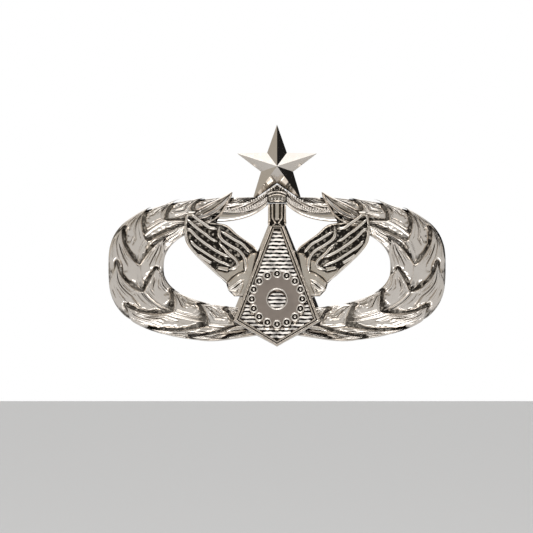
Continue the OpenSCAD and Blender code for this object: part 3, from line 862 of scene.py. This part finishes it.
def gullet_rings():
    """The hole's bright rim, and the rim round each gullet with the small round boss inside it."""
    shells = [ring(0, disc_middle, hub + 0.13, 0.22, disc_front + 0.03, disc_back, 48)]
    centre = disc_reach - gullet / 2
    for i in range(disc_teeth):
        turn = 2 * math.pi * i / disc_teeth
        x, z = centre * math.cos(turn), disc_middle + centre * math.sin(turn)
        shells.append(ring(x, z, gullet, 0.2, disc_front + 0.06, 1.5))
        shells.append(bead(x, z, 1.9, 0.24))
    return shells


# painted shade on forward faces between 1.5 and 1.85 mm high and in gaps
rim_metal = polished("polished_nickel_rims", (0.95, 0.91, 0.87), painted_shade_tone, 1.5, 1.85)
rims = piece("toothed_disc_rims", gullet_rings(), rim_metal)
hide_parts("toothed_disc")
disc_metal = matte("matte_nickel_disc", (0.44, 0.38, 0.34))
gear = piece("toothed_disc_cut", [toothed_disc()], disc_metal, crease=30)
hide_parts("toothed_disc")


# ---------------------------------------------------------------- stem, collar and finial
# A short stem of two rounded rails with a sunk panel hangs from a banded collar, and a ribbed
# pointed finial stands on the collar in front of the star. All in struck and polished nickel
# plate, sweated on between the two halves of the crest.
stem_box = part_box("stem")
# a brighter copy of the nickel as a painted highlight on the stem and finial, with painted shade on forward
# faces between 1.1 and 1.5 mm high and in gaps
stem_metal = polished("polished_nickel_stem", (0.94, 0.90, 0.86), painted_shade_tone, 1.1, 1.5)
stem_back, stem_face, stem_draft = 0.045, 1.1, 0.15
panel_half, panel_foot, panel_height = 0.26, 0.6, 1.65
collar_outline = [(-1.1, 3.95), (-1.25, 5.1), (-0.85, 5.65), (0, 6.15), (0.85, 5.65), (1.25, 5.1),
                  (1.1, 3.95)]
roof_height = 2.1


def mirrored_line(points):
    """The line and its mirror image on the other side of the stem."""
    return [[(side * x, z) for x, z in points] for side in (-1, 1)]


def upright_outline(half, low, high):
    """The four corners of a panel that stands upright in the badge's middle."""
    return [(-half, low), (half, low), (half, high), (-half, high)]


def stem():
    """The stem's block and its panel, with the long rails, the short rails and the V at their foot."""
    low, high = stem_box[0].z / MM, stem_box[1].z / MM
    wide = stem_box[1].x / MM
    shells = [frustum(upright_outline(wide, low, high), stem_back,
                      upright_outline(wide - stem_draft, low, high), stem_face),
              slab(upright_outline(panel_half, low + panel_foot, high), 0.9, panel_height, 0.08)]
    for points, width, top in (([(0.9, high), (0.9, 2.4), (0.98, low)], 0.36, 1.75),
                               ([(0.56, high), (0.56, 2.6), (0.56, 2.0)], 0.2, 2.0),
                               ([(0.56, 2.1), (0.32, 1.7), (0.12, 1.35)], 0.2, 2.0),
                               ([(0.12, 1.55), (0.4, 1.25), (0.75, 1.0)], 0.2, 2.0)):
        for line in mirrored_line(points):
            shells.append(bar(smooth_line(line, 14), width, top, 0.8))
    return shells


def arch(half, z, rise, width, top):
    """One arched band across the collar."""
    line = [Vector((half * (i / 8 - 1), z + rise * (1 - (i / 8 - 1) ** 2))) for i in range(17)]
    return bar(line, width, top, 0.5)


def collar():
    """The block of the collar with two bright arched bands, a row of beads under them, and the
    small roof-shaped point on top with its own raised edges."""
    shells = [slab(collar_outline, 0.3, 1.45)]
    shells += [arch(1.2, 4.95, 0.38, 0.30, 2.15), arch(1.05, 4.65, 0.32, 0.22, 2.1),
               arch(0.85, 4.1, 0.12, 0.22, 2.0), arch(0.8, 5.42, 0.16, 0.14, 1.9)]
    for points, width in (([(0.02, 6.1), (0.45, 5.85), (0.9, 5.58)], 0.2), ([(0.3, 5.9), (0.3, 5.5)], 0.14),
                          ([(0.6, 5.72), (0.62, 5.4)], 0.14)):
        for line in mirrored_line(points):
            shells.append(bar(smooth_line(line, 10), width, roof_height, 0.8))
    for x in (-0.62, -0.21, 0.21, 0.62):
        shells.append(bead(x, 4.45, 1.8, 0.17))
    return shells


for name, shells, node in (("stem_struck", stem(), "stem"), ("finial_struck", collar(), "finial")):
    upright = piece(name, shells, stem_metal)
    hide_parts(node)


# ---------------------------------------------------------------- posts
# Two turned brass posts with a round pad soldered flat on the badge's back, three grooves for the
# clutch to bite in, and a sharpened end. Left unplated, so they're yellow.
def brass(name, bright, dull, smooth):
    """Bare brass: a warm yellow that has dulled in patches, with painted shade in the corners and fine
    scratches.
    """
    metal = bpy.data.materials.new(name)
    add = nodes_of(metal)
    where = add("ShaderNodeTexCoord").outputs["Object"]
    patch = noise(add, where, 420.0, 5.0, Roughness=0.6)
    stretched = add("ShaderNodeMapping", {"Vector": where, "Scale": (900.0, 9000.0, 6000.0)})
    scratch = noise(add, stretched.outputs["Vector"], 1.0, 3.0)
    fleck = noise(add, where, 6500.0, 2.0)
    tarnish = ramp(add, patch, [(0.38, 0.0), (0.66, 0.75)])
    # painted shade in the corners, from how closed in each spot is; it joins the dull patches below
    shut = add("ShaderNodeAmbientOcclusion", {"Distance": 0.8 * MM}, samples=6)
    corner = ramp(add, shut.outputs["AO"], [(0.15, 1.0), (0.65, 0.0)])
    tarnish_and_shade = mix(add, 1.0, tarnish, corner, "LIGHTEN")
    tone = mix(add, tarnish_and_shade, (*bright, 1), (*dull, 1))
    streak = ramp(add, scratch, [(0.35, 0.82), (0.6, 1.0)])
    shown = mix(add, 1.0, tone, streak, "MULTIPLY")
    gloss = add("ShaderNodeMapRange", {"Value": patch, "From Min": 0.35, "From Max": 0.68,
                                       "To Min": smooth * 0.7, "To Max": smooth * 1.7})
    lines = add("ShaderNodeBump", {"Height": scratch, "Strength": 0.35, "Distance": 0.01 * MM})
    bump = add("ShaderNodeBump", {"Height": fleck, "Strength": 0.2, "Distance": 0.005 * MM,
                                  "Normal": lines.outputs["Normal"]})
    surface(add, {"Base Color": shown, "Metallic": 1.0, "Roughness": gloss.outputs[0],
                  "Normal": bump.outputs["Normal"]})
    return metal


def eased(profile, reach, closed=False):
    """The same profile with each corner rounded."""
    spots = [Vector(p) for p in profile]
    count = len(spots)
    line = []
    for i, spot in enumerate(spots):
        if not closed and i in (0, count - 1):
            line.append(spot)
            continue
        before, after = spots[i - 1], spots[(i + 1) % count]
        a = spot + (before - spot) * min(0.45, reach / (before - spot).length)
        b = spot + (after - spot) * min(0.45, reach / (after - spot).length)
        line += [a, (a + b + spot * 2) / 4, b]
    return line


def turned(x, z, profile, closed=False, steps=56):
    """A turned part: (radius, distance behind the badge's back) points spun round a post's axis."""
    points, faces, loops = [], [], []
    for r, back in profile:
        if r < 1e-4:
            loops.append([len(points)])
            points.append((x, z, -back))
        else:
            loops.append(list(range(len(points), len(points) + steps)))
            points += hoop(x, z, r, -back, steps)
    for k in range(len(loops) if closed else len(loops) - 1):
        a, b = loops[k], loops[(k + 1) % len(loops)]
        for i in range(steps):
            j = (i + 1) % steps
            if len(a) == 1:
                faces.append((a[0], b[j], b[i]))
            elif len(b) == 1:
                faces.append((a[i], a[j], b[0]))
            else:
                faces.append((a[i], a[j], b[j], b[i]))
    return np.array(points, float), faces


def axis_of(node):
    """Where the axis of a round or upright part stands, and half its width."""
    low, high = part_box(node)
    return (low.x + high.x) / 2 / MM, (low.z + high.z) / 2 / MM, (high.x - low.x) / 2 / MM


post_brass = brass("bare_brass_posts", (0.83, 0.60, 0.27), (0.42, 0.27, 0.11), 0.2)
pad_reach, pad_depth, post_reach, groove_floor = 1.5, 0.3, 0.5, 0.40
solder = [(1.42, 0.05), (0.7, 0.06), (0.56, 0.08), (0.52, 0.14)]
grooves, groove_half = (2.3, 3.8, 5.3), 0.3
post_end = cad_high.y / MM
for side in ("left", "right"):
    x, z = axis_of("post_" + side)[:2]
    profile = [(0, -pad_depth), (pad_reach, -pad_depth), (pad_reach, 0.02), *solder, (post_reach, 0.3)]
    for groove in grooves:
        profile += [(post_reach, groove - groove_half), (groove_floor, groove - 0.05),
                    (groove_floor, groove + 0.05), (post_reach, groove + groove_half)]
    profile += [(post_reach, post_end - 0.7), (0.12, post_end - 0.05), (0, post_end)]
    post = piece("post_" + side + "_turned", [turned(x, z, eased(profile, 0.06))], post_brass)
    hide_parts("post_" + side)


# ---------------------------------------------------------------- eyelets and base discs
# Each clutch turns on a drawn brass eyelet, rolled over at both ends. It holds the dished base
# disc, which has a turned-up rim and two pressed rings.
clutch_brass = brass("pressed_brass_clutch", (0.85, 0.64, 0.30), (0.50, 0.34, 0.15), 0.17)
sheet = 0.25
# sections of the rolled tube and of the two rings pressed in the dish, as radius and distance back
eyelet = [(0.55, 0.05), (1.3, 0.05), (1.3, 0.25), (0.8, 0.25), (0.8, 0.85), (1.1, 0.85), (1.1, 1.05),
          (0.55, 1.05)]
pressed_rings = [(2.66, 0.26), (2.56, 0.26), (2.5, 0.34), (2.36, 0.34), (2.3, 0.26), (2.05, 0.26),
                 (2.0, 0.33), (1.88, 0.33), (1.82, 0.27)]
for side in ("left", "right"):
    x, z, disc_radius = axis_of("base_disc_" + side)
    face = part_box("base_disc_" + side)[0].y / MM
    tube = turned(x, z, [(r, face + b) for r, b in eased(eyelet, 0.09, True)], True)
    rolled = piece("eyelet_" + side + "_rolled", [tube], clutch_brass, "eyelet_body_" + side)
    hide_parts("eyelet_" + side)
    wall = disc_radius - sheet
    dish = [(0.85, 0.3), (1.45, 0.3), (1.45, 0.0), (disc_radius - 0.3, 0.0), (disc_radius, 0.3),
            (disc_radius, 0.75), (wall, 0.75), (wall, 0.42), *pressed_rings, (1.75, 0.3), (1.75, 0.55),
            (0.85, 0.55)]
    pan = turned(x, z, [(r, face + b) for r, b in eased(dish, 0.07, True)], True, 72)
    disc = piece("base_disc_" + side + "_pressed", [pan], clutch_brass, "clutch_body_" + side)
    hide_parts("base_disc_" + side)


# ---------------------------------------------------------------- housings and grips
# The housing is a folded brass strip, open at top and bottom. In it hinge two springy brass grips
# on pins: jaws inside that bite the post, and curled wings outside with ribs for the fingers.
def softened(node, width):
    """The shape of a CAD node as a shell with its edges rounded, in mm."""
    work = bmesh.new()
    work.from_mesh(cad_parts[node].data)
    bmesh.ops.remove_doubles(work, verts=work.verts, dist=0.001 * MM)
    bmesh.ops.dissolve_limit(work, angle_limit=math.radians(1), verts=work.verts, edges=work.edges)
    edges = [e for e in work.edges if len(e.link_faces) == 2 and e.calc_face_angle() > math.radians(35)]
    bmesh.ops.bevel(work, geom=edges, offset=width * MM, offset_type="OFFSET", segments=2, profile=0.5,
                    affect="EDGES", clamp_overlap=True)
    points = np.array([(v.co.x, v.co.z, -v.co.y) for v in work.verts]) / MM
    work.verts.index_update()
    faces = [tuple(v.index for v in f.verts) for f in work.faces]
    work.free()
    return points, faces


def cross_rod(x, z, back, half, r, sides=12):
    """A round rod across the clutch with domed ends."""
    dome = ((1, 0.35), (0.985, 0.8), (0.95, 1.0))
    rows = [(x - half * s, r * k) for s, k in dome] + [(x + half * s, r * k) for s, k in reversed(dome)]
    turns = [2 * math.pi * i / sides for i in range(sides)]
    points = [(px, z + pr * math.sin(turn), -back + pr * math.cos(turn)) for px, pr in rows for turn in turns]
    faces = [tuple(range(sides)), tuple(range(5 * sides, 6 * sides))] + bands(len(rows), sides)
    return np.array(points, float), faces


spring_brass = brass("spring_brass_grips", (0.88, 0.69, 0.36), (0.55, 0.39, 0.18), 0.14)
pin_rise, pin_back, pin_reach = 1.1, 2.3, 0.17
finger_rise, finger_backs, finger_half, finger_reach = 3.6, (3.5, 3.8, 4.1), 1.1, 0.07
for side in ("left", "right"):
    x, z, housing_half = axis_of("housing_" + side)
    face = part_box("base_disc_" + side)[0].y / MM
    pin_half = housing_half + 0.06
    folded = piece("housing_" + side + "_folded", [softened("housing_" + side, 0.06)], clutch_brass,
                   "clutch_body_" + side, crease=20)
    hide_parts("housing_" + side)
    for grip, up in (("upper_grip_", 1), ("lower_grip_", -1)):
        shells = [softened(grip + side, 0.05)]
        shells.append(cross_rod(x, z + up * pin_rise, face + pin_back, pin_half, pin_reach))
        shells += [cross_rod(x, z + up * finger_rise, face + back, finger_half, finger_reach)
                   for back in finger_backs]
        spring = piece(grip + side + "_pressed", shells, spring_brass, grip + "body_" + side, crease=20)
        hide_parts(grip + side)
